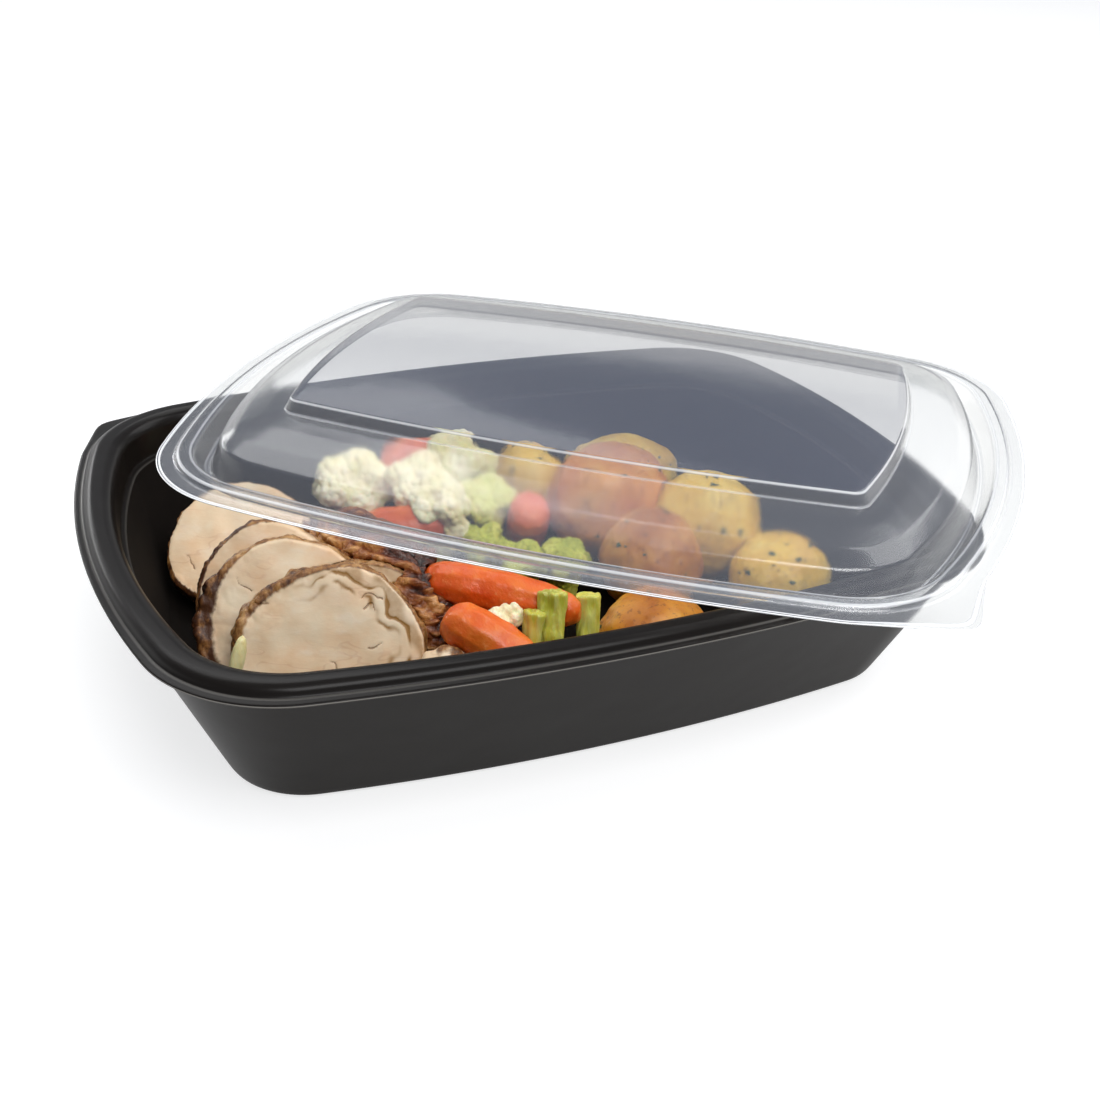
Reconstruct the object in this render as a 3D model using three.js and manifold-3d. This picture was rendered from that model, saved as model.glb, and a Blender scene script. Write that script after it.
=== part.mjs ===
// A takeaway meal container: a dark plastic tray with a sliced pork roast, carrots, cauliflower,
// broccoli and boiled potatoes in it, and its clear domed lid lying askew on the rim.
// Millimetres, +Z up. The origin is the middle of the tray's flat base.
import * as THREE from 'three';
import { mergeVertices } from 'three/addons/utils/BufferGeometryUtils.js';
import Module from 'manifold-3d';

const wasm = await Module();
wasm.setup();

// Every outline here is a rectangle with bowed sides and round corners, given by its half length
// and half width, how far the long and the short sides bow out, and its corner radius.
const TRAY_LIP = { halfLength: 115, halfWidth: 87.5, bowLong: 11.5, bowShort: 16.7, corner: 36 };
const TRAY_FOOT = { halfLength: 94.5, halfWidth: 65.5, bowLong: 8.1, bowShort: 10, corner: 21 };
const LID_EDGE = { halfLength: 116, halfWidth: 92, bowLong: 10.5, bowShort: 18.5, corner: 36 };
const LID_PANEL = { halfLength: 82.2, halfWidth: 50, bowLong: 4.8, bowShort: 6.3, corner: 3.5 };

const BASE_THICKNESS = 1.2;
const FOOT_ROUND = 2.6;
const LIP_HEIGHT = 42;
const LIP_THICKNESS = 0.9;
const RIM_TOP = 45;
const RIM_WIDTH = 9.7;
const LEDGE_HEIGHT = 34.5;
const TRAY_TAB = { signX: -1, signY: 1, reach: 5, share: 1 / 2 };

const LID_SHEET = 0.5;
const LID_PLUG = 3.5;
const LID_RIDGE = 2.2;
const LID_SHOULDER = 9.4;
const LID_PANEL_HEIGHT = 13.3;
const LID_TAB = { signX: 1, signY: -1, reach: 10, share: 1 / 3 };
const LID_CLEARANCE = 0.3;
const LID_TURN = THREE.MathUtils.degToRad(-40.1);
const LID_MIDDLE = new THREE.Vector2(33.6, 17.8);
const LID_HEIGHT = RIM_TOP + LID_CLEARANCE + LID_PLUG;

const FOOD_GAP = 0.35;
const ROAST_FACE_TURN = THREE.MathUtils.degToRad(-17);
const SLICE_THICKNESS = 8.5;

// Points along a quarter of an outline: short side, round corner, long side.
const QUARTER = { shortSide: 3, corner: 6, longSide: 3 };

const COLOURS = {
  tray: { color: 0x2b2826, roughness: 0.55 },
  lid: { color: 0xdfe6ea, roughness: 0.08 },
  pork: { color: 0xd8bda2, roughness: 0.6 },
  crust: { color: 0x5a3420, roughness: 0.55 },
  onion: { color: 0xe3d79b, roughness: 0.4 },
  carrot: { color: 0xe4571c, roughness: 0.4 },
  cauliflower: { color: 0xe6e2bb, roughness: 0.7 },
  broccoli: { color: 0x9fae3c, roughness: 0.7 },
  stem: { color: 0xa9c063, roughness: 0.45 },
  potato: { color: 0xd9b75a, roughness: 0.5 },
  redPotato: { color: 0xc98a5c, roughness: 0.5 },
  goldPotato: { color: 0xdc9a2c, roughness: 0.5 },
};

function material(finish) {
  return new THREE.MeshStandardMaterial({ ...finish, metalness: 0 });
}

// A seeded random number between 0 and 1.
function randomFrom(seed) {
  let state = seed >>> 0;
  return () => {
    state = (state + 0x6d2b79f5) >>> 0;
    let mixed = Math.imul(state ^ (state >>> 15), state | 1);
    mixed ^= mixed + Math.imul(mixed ^ (mixed >>> 7), mixed | 61);
    return ((mixed ^ (mixed >>> 14)) >>> 0) / 4294967296;
  };
}

// Smooth lumps: a few waves in random directions, between about -1 and 1.
function lumps(seed, wavelength, waves = 5) {
  const random = randomFrom(seed);
  const parts = [];
  for (let k = 0; k < waves; k += 1) {
    const direction = new THREE.Vector3(random() - 0.5, random() - 0.5, random() - 0.5).normalize();
    const stretch = (2 * Math.PI) / (wavelength * (0.7 + 0.6 * random()));
    parts.push({ direction: direction.multiplyScalar(stretch), phase: 6.28 * random() });
  }
  return (point) => {
    const sum = parts.reduce((total, p) => total + Math.sin(p.direction.dot(point) + p.phase), 0);
    return sum / Math.sqrt(waves);
  };
}

function shrunk(shape, inset, leastCorner = 2) {
  return {
    ...shape,
    halfLength: shape.halfLength - inset,
    halfWidth: shape.halfWidth - inset,
    corner: Math.max(shape.corner - inset, leastCorner),
  };
}

function blended(from, to, share) {
  const result = {};
  for (const key of Object.keys(from)) {
    result[key] = THREE.MathUtils.lerp(from[key], to[key], share);
  }
  return result;
}

function arc(centre, radius, start, end, steps) {
  const points = [];
  for (let k = 0; k < steps; k += 1) {
    const angle = THREE.MathUtils.lerp(start, end, k / steps);
    points.push(new THREE.Vector2(Math.cos(angle), Math.sin(angle)).multiplyScalar(radius).add(centre));
  }
  return points;
}

// The quarter of the outline with x and y positive, from (halfLength, 0) up to (0, halfWidth).
// A tab is a pull tab: its tip stands out from the round corner by reach, at a share of the way
// round the corner, and straight edges run from the tip to touch the corner's arc.
function quarterOutline(shape, tab = null) {
  const { halfLength, halfWidth, bowLong, bowShort, corner } = shape;
  const longRadius = (halfLength ** 2 + bowLong ** 2) / (2 * bowLong);
  const shortRadius = (halfWidth ** 2 + bowShort ** 2) / (2 * bowShort);
  const longCentre = new THREE.Vector2(0, halfWidth - longRadius);
  const shortCentre = new THREE.Vector2(halfLength - shortRadius, 0);
  const between = shortCentre.clone().sub(longCentre);
  const distance = between.length();
  const fromLong = longRadius - corner;
  const fromShort = shortRadius - corner;
  const along = (distance ** 2 + fromLong ** 2 - fromShort ** 2) / (2 * distance);
  const aside = Math.sqrt(fromLong ** 2 - along ** 2);
  const unit = between.divideScalar(distance);
  const cornerCentre = longCentre.clone().addScaledVector(unit, along);
  cornerCentre.add(new THREE.Vector2(unit.y, -unit.x).multiplyScalar(aside));
  const shortEnd = cornerCentre.clone().sub(shortCentre).angle();
  const longStart = cornerCentre.clone().sub(longCentre).angle();
  const round = arc(cornerCentre, corner, shortEnd, longStart, QUARTER.corner);
  if (tab !== null) {
    const halfAngle = Math.acos(corner / (corner + tab.reach));
    round.forEach((point, k) => {
      const fromTip = Math.abs(k / QUARTER.corner - tab.share) * (longStart - shortEnd);
      const reach = corner / Math.cos(Math.max(0, halfAngle - fromTip));
      point.sub(cornerCentre).setLength(reach).add(cornerCentre);
    });
  }
  return [
    ...arc(shortCentre, shortRadius, 0, shortEnd, QUARTER.shortSide),
    ...round,
    ...arc(longCentre, longRadius, longStart, Math.PI / 2, QUARTER.longSide),
    new THREE.Vector2(0, halfWidth),
  ];
}

// A closed outline, anticlockwise, as points at one height. A tab states its quarter by the signs
// of x and y there.
function ring(shape, height, tab = null) {
  const signs = [[1, 1], [-1, 1], [-1, -1], [1, -1]];
  return signs.flatMap(([signX, signY]) => {
    const here = tab !== null && tab.signX === signX && tab.signY === signY;
    const quarter = quarterOutline(shape, here ? tab : null);
    const points = quarter.map((p) => new THREE.Vector3(p.x * signX, p.y * signY, height));
    if (signX * signY < 0) {
      points.reverse();
    }
    return points.slice(0, -1);
  });
}

function middleOf(points) {
  const middle = new THREE.Vector3();
  points.forEach((point) => middle.add(point));
  return middle.divideScalar(points.length);
}

function signedVolume(positions, triangles) {
  const corner = (index) => new THREE.Vector3().fromArray(positions, 3 * index);
  let sum = 0;
  for (let k = 0; k < triangles.length; k += 3) {
    const [a, b, c] = [corner(triangles[k]), corner(triangles[k + 1]), corner(triangles[k + 2])];
    sum += a.dot(b.cross(c)) / 6;
  }
  return sum;
}

// A closed skin through rings with the same number of points, shut by a fan at each end.
function loft(rings) {
  const count = rings[0].length;
  const points = [...rings.flat(), middleOf(rings[0]), middleOf(rings[rings.length - 1])];
  const positions = points.flatMap((point) => point.toArray());
  const lastRing = (rings.length - 1) * count;
  const firstMiddle = rings.length * count;
  const triangles = [];
  for (let k = 0; k < count; k += 1) {
    const next = (k + 1) % count;
    triangles.push(firstMiddle, next, k);
    triangles.push(firstMiddle + 1, lastRing + k, lastRing + next);
    for (let row = 0; row < lastRing; row += count) {
      triangles.push(row + k, row + next, row + count + next);
      triangles.push(row + k, row + count + next, row + count + k);
    }
  }
  if (signedVolume(positions, triangles) < 0) {
    triangles.reverse();
  }
  const geometry = new THREE.BufferGeometry();
  geometry.setAttribute('position', new THREE.Float32BufferAttribute(positions, 3));
  geometry.setIndex(triangles);
  return geometry;
}

function merged(geometry) {
  const bare = geometry.clone();
  bare.deleteAttribute('normal');
  bare.deleteAttribute('uv');
  return mergeVertices(bare, 1e-4);
}

function solidOf(geometry) {
  const bare = merged(geometry);
  return new wasm.Manifold(new wasm.Mesh({
    numProp: 3,
    vertProperties: new Float32Array(bare.attributes.position.array),
    triVerts: new Uint32Array(bare.index.array),
  }));
}

function geometryOf(solid) {
  const mesh = solid.getMesh();
  const geometry = new THREE.BufferGeometry();
  geometry.setAttribute('position', new THREE.Float32BufferAttribute(mesh.vertProperties, 3));
  geometry.setIndex(Array.from(mesh.triVerts));
  return geometry;
}

// The same closed skin, pushed outward everywhere by one distance.
function grown(geometry, distance) {
  const result = merged(geometry);
  result.computeVertexNormals();
  const { position, normal } = result.attributes;
  for (let k = 0; k < position.count; k += 1) {
    position.setXYZ(
      k,
      position.getX(k) + normal.getX(k) * distance,
      position.getY(k) + normal.getY(k) * distance,
      position.getZ(k) + normal.getZ(k) * distance,
    );
  }
  return result;
}

// The tray: one sheet that runs from the floor up the inner wall, over the round rim, out to the
// thin lip, and down the outer wall to the foot. The wall thickens into the rim.
function trayWallOutside(height) {
  const share = (height - FOOT_ROUND) / (LIP_HEIGHT - FOOT_ROUND);
  return blended(TRAY_FOOT, shrunk(TRAY_LIP, 2.8), share);
}

function trayWallInside(height) {
  const floorEdge = shrunk(TRAY_FOOT, 1.2);
  const share = (height - FOOT_ROUND) / (LEDGE_HEIGHT - FOOT_ROUND);
  return blended(floorEdge, shrunk(TRAY_LIP, RIM_WIDTH + 2.4), share);
}

function trayGeometry() {
  const lip = (inset, height) => {
    const reach = TRAY_TAB.reach * Math.max(0, 1 - inset / 2);
    return ring(shrunk(TRAY_LIP, inset), height, { ...TRAY_TAB, reach });
  };
  return loft([
    ring(shrunk(trayWallInside(BASE_THICKNESS), 5), BASE_THICKNESS),
    ring(shrunk(trayWallInside(2.4), 2), 2.4),
    ring(trayWallInside(5), 5),
    ring(trayWallInside(LEDGE_HEIGHT), LEDGE_HEIGHT),
    lip(RIM_WIDTH + 0.9, LEDGE_HEIGHT + 0.5),
    lip(RIM_WIDTH + 0.3, RIM_TOP - 2.6),
    lip(RIM_WIDTH - 0.8, RIM_TOP - 0.8),
    lip(RIM_WIDTH - 2.6, RIM_TOP),
    lip(4.4, RIM_TOP),
    lip(3, RIM_TOP - 0.8),
    lip(2.4, LIP_HEIGHT + 1),
    lip(2, LIP_HEIGHT + 0.6),
    lip(0.25, LIP_HEIGHT + 0.35),
    lip(0, LIP_HEIGHT),
    lip(0.25, LIP_HEIGHT + 0.35 - LIP_THICKNESS),
    ring(trayWallOutside(LIP_HEIGHT - LIP_THICKNESS), LIP_HEIGHT - LIP_THICKNESS),
    ring(trayWallOutside(FOOT_ROUND), FOOT_ROUND),
    ring(shrunk(TRAY_FOOT, 0.9), 0.7),
    ring(shrunk(TRAY_FOOT, FOOT_ROUND), 0),
  ]);
}

// The lid: a thin clear sheet. From its edge inwards it has a flat flange, a ridge that snaps over
// the tray's rim, a plug that drops inside it, the dome's wall, a rounded shoulder and a raised
// flat panel with crisp edges.
function lidGeometry() {
  const flange = (inset, height) => {
    const reach = LID_TAB.reach * Math.max(0, 1 - inset / 3.6);
    return ring(shrunk(LID_EDGE, inset), height, { ...LID_TAB, reach });
  };
  const domeFoot = shrunk(LID_EDGE, 12.3);
  const panelFoot = shrunk(LID_PANEL, -1.4);
  const dome = (share, height) => ring(blended(domeFoot, panelFoot, share), height);
  const upper = [
    ring(shrunk(LID_PANEL, 0.6), LID_PANEL_HEIGHT),
    ring(LID_PANEL, LID_PANEL_HEIGHT - 0.7),
    ring(panelFoot, LID_SHOULDER),
    dome(0.7, LID_SHOULDER - 0.7),
    dome(0.35, LID_SHOULDER - 2.2),
    dome(0.13, LID_SHOULDER - 4.6),
    dome(0, -LID_PLUG + LID_SHEET + 0.5),
    flange(11.8, -LID_PLUG + LID_SHEET),
    flange(10.9, -LID_PLUG + LID_SHEET),
    flange(8.7, LID_RIDGE - 0.4),
    flange(8, LID_RIDGE),
    flange(4.9, LID_RIDGE),
    flange(4.1, LID_SHEET + 0.2),
    flange(0, LID_SHEET),
  ];
  const lower = [
    flange(0, 0),
    flange(4.6, 0.2),
    flange(5.3, LID_RIDGE - LID_SHEET),
    flange(7.6, LID_RIDGE - LID_SHEET),
    flange(8.2, LID_RIDGE - LID_SHEET - 0.4),
    flange(10.5, -LID_PLUG),
    flange(12.2, -LID_PLUG),
    ring(shrunk(domeFoot, LID_SHEET), -LID_PLUG + 0.6),
    ring(shrunk(blended(domeFoot, panelFoot, 0.13), LID_SHEET), LID_SHOULDER - 5),
    ring(blended(domeFoot, panelFoot, 0.36), LID_SHOULDER - 2.2 - LID_SHEET),
    ring(blended(domeFoot, panelFoot, 0.7), LID_SHOULDER - 0.7 - LID_SHEET),
    ring(shrunk(panelFoot, LID_SHEET), LID_SHOULDER - LID_SHEET),
    ring(shrunk(LID_PANEL, LID_SHEET), LID_PANEL_HEIGHT - LID_SHEET),
  ];
  return loft([...upper, ...lower]);
}

// The room inside the tray that food may fill, a little clear of its floor and walls.
function cavitySolid() {
  const inset = (height, extra) => ring(shrunk(trayWallInside(height), extra + FOOD_GAP), height);
  const floor = BASE_THICKNESS + FOOD_GAP;
  return solidOf(loft([
    inset(floor, 5.2),
    inset(2.6, 2.2),
    inset(5, 0.2),
    inset(LEDGE_HEIGHT - 0.2, 0.3),
    ring(shrunk(TRAY_LIP, RIM_WIDTH + 1.6), RIM_TOP),
  ]));
}

// A round lump such as a potato, with soft unevenness, turned about Z and then tipped about Y.
function lump({ at, radii, turn = 0, tip = 0, seed, uneven = 0.05, detail = 2, fine = 0 }) {
  const geometry = merged(new THREE.IcosahedronGeometry(1, detail));
  const broad = lumps(seed, 2.2);
  const small = lumps(seed + 50, 0.55, 7);
  const { position } = geometry.attributes;
  for (let k = 0; k < position.count; k += 1) {
    const point = new THREE.Vector3().fromBufferAttribute(position, k);
    const reach = 1 + uneven * broad(point) + fine * small(point);
    position.setXYZ(k, point.x * radii[0] * reach, point.y * radii[1] * reach, point.z * radii[2] * reach);
  }
  geometry.rotateY(THREE.MathUtils.degToRad(tip));
  geometry.rotateZ(THREE.MathUtils.degToRad(turn));
  geometry.translate(...at);
  return geometry;
}

// A slice of roast: an uneven disc that stands on its edge, leans back and faces -Y before it is
// turned. Its cut faces are nearly flat and its browned rim is rough.
function roastSlice({ at, halfWidth, halfHeight, lean, turn, roll = 0, seed, thickness = SLICE_THICKNESS }) {
  const sides = 24;
  const edge = lumps(seed, 1.6);
  const rough = lumps(seed + 9, 0.45, 6);
  const outline = (scale, depth, roughness) => {
    const points = [];
    for (let k = 0; k < sides; k += 1) {
      const angle = (2 * Math.PI * k) / sides;
      const unit = new THREE.Vector3(Math.cos(angle), Math.sin(angle), 0);
      const reach = scale * (1 + 0.045 * edge(unit) + roughness * rough(unit));
      points.push(new THREE.Vector3(unit.x * halfWidth * reach, depth, unit.y * halfHeight * reach));
    }
    return points;
  };
  const half = thickness / 2;
  const geometry = loft([
    outline(0.55, -half - 0.5, 0),
    outline(0.96, -half, 0.01),
    outline(1, -half + 1.2, 0.018),
    outline(1.01, half - 1.2, 0.022),
    outline(0.95, half, 0.01),
  ]);
  geometry.rotateY(THREE.MathUtils.degToRad(roll));
  geometry.rotateX(THREE.MathUtils.degToRad(-lean));
  geometry.rotateZ(ROAST_FACE_TURN + THREE.MathUtils.degToRad(turn));
  geometry.translate(...at);
  return geometry;
}

// A round bar from one point to another with its own radius at each step, bent upward in between.
function bar({ from, to, radius, profile, sides = 10, bend = 0, flat = 1, seed = 1 }) {
  const start = new THREE.Vector3(...from);
  const end = new THREE.Vector3(...to);
  const along = end.clone().sub(start).normalize();
  const upright = Math.abs(along.z) > 0.99;
  const aside = upright ? new THREE.Vector3(1, 0, 0) : new THREE.Vector3(-along.y, along.x, 0);
  aside.addScaledVector(along, -along.dot(aside)).normalize();
  const above = along.clone().cross(aside);
  const wobble = lumps(seed, 1.8, 4);
  const rings = profile.map(([share, scale]) => {
    const middle = start.clone().lerp(end, share);
    middle.addScaledVector(above, bend * 4 * share * (1 - share));
    const points = [];
    for (let k = 0; k < sides; k += 1) {
      const angle = (2 * Math.PI * k) / sides;
      const reach = radius * scale * (1 + 0.05 * wobble(new THREE.Vector3(Math.cos(angle), Math.sin(angle), share)));
      const point = middle.clone().addScaledVector(aside, Math.cos(angle) * reach);
      points.push(point.addScaledVector(above, Math.sin(angle) * reach * flat));
    }
    return points;
  });
  return loft(rings);
}

// A small peeled carrot: blunt round ends, a little thicker at one of them.
function carrot(options) {
  const profile = [
    [0.01, 0.35], [0.05, 0.72], [0.13, 0.95], [0.3, 1.04], [0.55, 1], [0.8, 0.9], [0.92, 0.72], [0.98, 0.4],
  ];
  return bar({ profile, sides: 11, ...options });
}

// A piece of pale green stem: a cut length with blunt ends.
function stem(options) {
  const profile = [[0, 0.85], [0.04, 1], [0.35, 0.9], [0.7, 0.95], [0.97, 1.1], [1, 0.95]];
  return bar({ profile, sides: 9, flat: 0.62, ...options });
}

// A floret: a stalk that widens into a head whose skin is the outside of many round buds.
function floret({ at, size, buds, seed, headUp = [0, 0, 1], stalk = 1, detail = 2 }) {
  const random = randomFrom(seed);
  const middle = new THREE.Vector3(...at);
  const up = new THREE.Vector3(...headUp).normalize();
  const turn = new THREE.Quaternion().setFromUnitVectors(new THREE.Vector3(0, 0, 1), up);
  const budList = [];
  for (let k = 0; k < buds; k += 1) {
    const height = 1 - (1.5 * (k + 0.5)) / buds;
    const angle = 2.4 * k + random();
    const out = Math.sqrt(1 - height * height);
    const direction = new THREE.Vector3(Math.cos(angle) * out, Math.sin(angle) * out, height);
    const reach = 0.58 + 0.14 * random();
    budList.push({ centre: direction.multiplyScalar(reach), radius: 0.36 + 0.1 * random() });
  }
  const head = merged(new THREE.IcosahedronGeometry(1, detail));
  const { position } = head.attributes;
  for (let k = 0; k < position.count; k += 1) {
    const ray = new THREE.Vector3().fromBufferAttribute(position, k).normalize();
    let reach = 0.55;
    budList.forEach(({ centre, radius }) => {
      const along = ray.dot(centre);
      const clear = radius ** 2 - centre.lengthSq() + along ** 2;
      if (clear > 0) {
        reach = Math.max(reach, along + Math.sqrt(clear));
      }
    });
    const point = ray.multiplyScalar(size * reach);
    point.z *= 0.85;
    point.applyQuaternion(turn).add(middle);
    position.setXYZ(k, point.x, point.y, point.z);
  }
  const foot = middle.clone().addScaledVector(up, -size * (0.5 + stalk));
  const stalkSolid = solidOf(bar({
    from: foot.toArray(),
    to: middle.toArray(),
    radius: size * 0.6,
    profile: [[0, 0.6], [0.9, 1]],
    sides: 7,
    seed,
  }));
  return geometryOf(solidOf(head).add(stalkSolid));
}

// The food, in the order in which it is laid: a piece gives way to those before it.
const roast = [
  {
    name: 'pork_slice_4', at: [-61, -31, 20], halfWidth: 24.8, halfHeight: 21.5, lean: 30, turn: 0,
    thickness: 6.5, seed: 4,
  },
  {
    name: 'pork_slice_5', at: [-51.5, -24, 19], halfWidth: 22, halfHeight: 19.5, lean: 30, turn: 4,
    thickness: 5, seed: 5,
  },
  { name: 'pork_slice_3', at: [-67.5, -14, 20], halfWidth: 23.5, halfHeight: 22, lean: 30, turn: -2, seed: 3 },
  { name: 'pork_slice_2', at: [-69, -3, 19.5], halfWidth: 20, halfHeight: 21.5, lean: 30, turn: -3, seed: 2 },
  { name: 'pork_slice_1', at: [-68.5, 37, 15.5], halfWidth: 21, halfHeight: 18.5, lean: 50, turn: -4, seed: 1 },
];

const carrots = [
  { name: 'carrot_1', from: [-34, -38, 30], to: [-15.5, -56, 20], radius: 6.4, seed: 11 },
  { name: 'carrot_2', from: [-34, -18, 29.5], to: [0.5, -44, 27], radius: 6, bend: 1.2, seed: 12 },
  { name: 'carrot_3', from: [-40, 30, 18], to: [-13, 20, 24], radius: 6.5, seed: 13 },
  { name: 'carrot_4', from: [-20, 66, 20], to: [0, 58, 26], radius: 7.5, seed: 14 },
  { name: 'carrot_5', from: [11, 17, 27], to: [12, 28, 8], radius: 6.5, seed: 15 },
];

const stems = [
  { name: 'stem_1', from: [-9.5, -48, 14], to: [-7.5, -43, 34.5], radius: 3.7, seed: 21 },
  { name: 'stem_2', from: [2.5, -45, 10], to: [3.5, -40, 30], radius: 3.4, seed: 22 },
  { name: 'stem_3', from: [-15.5, -47, 14], to: [-13, -45, 31], radius: 3, seed: 23 },
];

const potatoes = [
  { name: 'potato_1', at: [70.5, -23.5, 14], radii: [16, 14, 12.3], turn: 20, seed: 31, finish: 'potato' },
  { name: 'potato_2', at: [61, 4.5, 17.5], radii: [17.5, 17.5, 16], turn: 60, seed: 32, finish: 'potato' },
  { name: 'potato_3', at: [38, 23, 21], radii: [19, 17, 19], turn: 15, seed: 33, finish: 'redPotato' },
  { name: 'potato_4', at: [53, 47, 15.5], radii: [19, 15, 14], turn: 0, seed: 34, finish: 'potato' },
  { name: 'potato_5', at: [23, 52, 15], radii: [12, 13, 13.5], turn: 0, seed: 35, finish: 'potato' },
  { name: 'potato_6', at: [36, -11, 18], radii: [15, 15, 16], turn: 40, seed: 36, finish: 'goldPotato' },
  { name: 'potato_7', at: [21.5, -44, 15.5], radii: [16, 13.5, 13.5], turn: 10, seed: 37, finish: 'goldPotato' },
];

const cauliflower = [
  { name: 'cauliflower_1', at: [-33, 48, 24], size: 13, buds: 9, seed: 41, detail: 3 },
  { name: 'cauliflower_2', at: [-17, 38, 26], size: 12, buds: 9, seed: 42, detail: 3 },
  { name: 'cauliflower_3', at: [-2, 45, 29], size: 11.5, buds: 8, seed: 43, detail: 3 },
  { name: 'cauliflower_4', at: [2, 31, 22], size: 11, buds: 8, seed: 44 },
  { name: 'cauliflower_5', at: [-15, 24, 25], size: 10.5, buds: 8, seed: 45 },
  { name: 'cauliflower_6', at: [-18.5, -39, 26.5], size: 5.5, buds: 6, seed: 46 },
];

const broccoli = [
  { name: 'broccoli_1', at: [0, -2, 19], size: 9, buds: 7, seed: 51 },
  { name: 'broccoli_2', at: [12, -5, 19], size: 9, buds: 7, seed: 52 },
  { name: 'broccoli_3', at: [-5, 14, 18], size: 8, buds: 6, seed: 53 },
];

const pieces = [
  ...roast.map((slice) => ({ ...slice, finish: 'pork', geometry: roastSlice(slice) })),
  ...stems.map((piece) => ({ ...piece, finish: 'stem', geometry: stem(piece) })),
  ...carrots.map((piece) => ({ ...piece, finish: 'carrot', geometry: carrot(piece) })),
  {
    name: 'onion_strip',
    finish: 'onion',
    geometry: lump({ at: [-86, -43, 31], radii: [2, 1.6, 6], turn: 30, tip: 20, seed: 61, detail: 1 }),
  },
  {
    name: 'pork_scrap',
    finish: 'pork',
    geometry: lump({ at: [-37, -47, 20], radii: [8, 5, 7], turn: 10, seed: 62, detail: 2 }),
  },
  {
    name: 'pork_end',
    finish: 'crust',
    geometry: lump({
      at: [-42, -4, 17], radii: [34, 15, 20], turn: -70, seed: 63, uneven: 0.05, fine: 0.03, detail: 3,
    }),
  },
  ...potatoes.map((piece) => ({ ...piece, geometry: lump(piece) })),
  ...cauliflower.map((piece) => ({ ...piece, finish: 'cauliflower', geometry: floret(piece) })),
  ...broccoli.map((piece) => ({ ...piece, finish: 'broccoli', geometry: floret(piece) })),
];

// Keeps the largest body of a cut piece, so that no loose chip is left.
function largestBody(solid) {
  const bodies = solid.decompose();
  return bodies.reduce((best, body) => (body.volume() > best.volume() ? body : best));
}

function foodMeshes() {
  const cavity = cavitySolid();
  const laid = [];
  return pieces.map(({ name, finish, geometry }) => {
    let solid = solidOf(geometry).intersect(cavity);
    laid.forEach((before) => {
      solid = solid.subtract(before);
    });
    solid = largestBody(solid);
    laid.push(solidOf(grown(geometry, FOOD_GAP)));
    const cut = geometryOf(solid);
    cut.computeBoundingBox();
    const middle = cut.boundingBox.getCenter(new THREE.Vector3());
    cut.translate(-middle.x, -middle.y, -middle.z);
    const mesh = new THREE.Mesh(cut, material(COLOURS[finish]));
    mesh.name = name;
    mesh.position.copy(middle);
    return mesh;
  });
}

const tray = new THREE.Mesh(trayGeometry(), material(COLOURS.tray));
tray.name = 'tray';

const lid = new THREE.Mesh(lidGeometry(), material(COLOURS.lid));
lid.name = 'lid';
lid.position.set(LID_MIDDLE.x, LID_MIDDLE.y, LID_HEIGHT);
lid.rotation.z = LID_TURN;

const meal = new THREE.Group();
meal.add(...foodMeshes());

const container = new THREE.Group();
container.add(tray, meal, lid);

export default container;
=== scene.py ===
import math

import bmesh
import bpy
import numpy as np
from mathutils import Matrix, Vector, kdtree


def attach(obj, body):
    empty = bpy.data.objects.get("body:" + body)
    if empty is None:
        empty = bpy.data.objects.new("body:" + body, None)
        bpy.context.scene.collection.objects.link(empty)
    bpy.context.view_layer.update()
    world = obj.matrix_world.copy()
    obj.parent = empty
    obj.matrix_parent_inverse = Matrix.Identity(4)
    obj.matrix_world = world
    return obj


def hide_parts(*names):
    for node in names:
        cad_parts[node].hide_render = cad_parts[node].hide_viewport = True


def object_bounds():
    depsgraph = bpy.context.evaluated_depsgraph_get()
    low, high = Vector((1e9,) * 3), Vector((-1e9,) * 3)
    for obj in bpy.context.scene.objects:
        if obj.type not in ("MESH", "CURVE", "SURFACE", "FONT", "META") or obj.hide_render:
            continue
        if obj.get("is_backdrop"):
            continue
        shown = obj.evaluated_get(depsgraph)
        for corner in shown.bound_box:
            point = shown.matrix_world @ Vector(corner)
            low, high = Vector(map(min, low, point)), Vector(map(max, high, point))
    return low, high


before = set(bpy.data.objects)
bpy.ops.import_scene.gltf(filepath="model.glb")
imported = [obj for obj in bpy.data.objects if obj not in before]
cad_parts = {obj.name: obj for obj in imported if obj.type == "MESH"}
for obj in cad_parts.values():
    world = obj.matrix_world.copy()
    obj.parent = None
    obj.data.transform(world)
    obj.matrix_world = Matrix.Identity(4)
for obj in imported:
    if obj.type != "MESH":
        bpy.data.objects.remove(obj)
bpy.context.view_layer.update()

# --- The view and its light ---
# The camera stands to the left of the long front side and looks down on the meal, a little
# rolled. A large soft light hangs over the front, and smaller ones behind and at the right draw
# the gleams on the lid. The floor is white and glows a little, which keeps the shadows pale.
TURN, RISE, ROLL, AWAY = -0.404, 0.500, 0.038, 0.45494
LOOK_AT = Vector((0.02466, 0.03499, 0))
FRAME_WIDTH, FOCAL_LENGTH = 1100, 1468.57
back = Vector((math.sin(TURN) * math.cos(RISE), -math.cos(TURN) * math.cos(RISE), math.sin(RISE)))
level = back.cross(Vector((0, 0, -1))).normalized()
above = back.cross(level)
right = level * math.cos(ROLL) + above * math.sin(ROLL)
upward = above * math.cos(ROLL) - level * math.sin(ROLL)
camera = bpy.data.objects.new("view", bpy.data.cameras.new("view"))
camera.data.sensor_width = 36
camera.data.lens = camera.data.sensor_width * FOCAL_LENGTH / FRAME_WIDTH
axes = Matrix((right, upward, back)).transposed().to_4x4()
camera.matrix_world = Matrix.Translation(LOOK_AT + back * AWAY) @ axes
bpy.context.collection.objects.link(camera)
bpy.context.scene.camera = camera
bpy.context.scene.view_settings.view_transform = "Standard"

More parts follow.
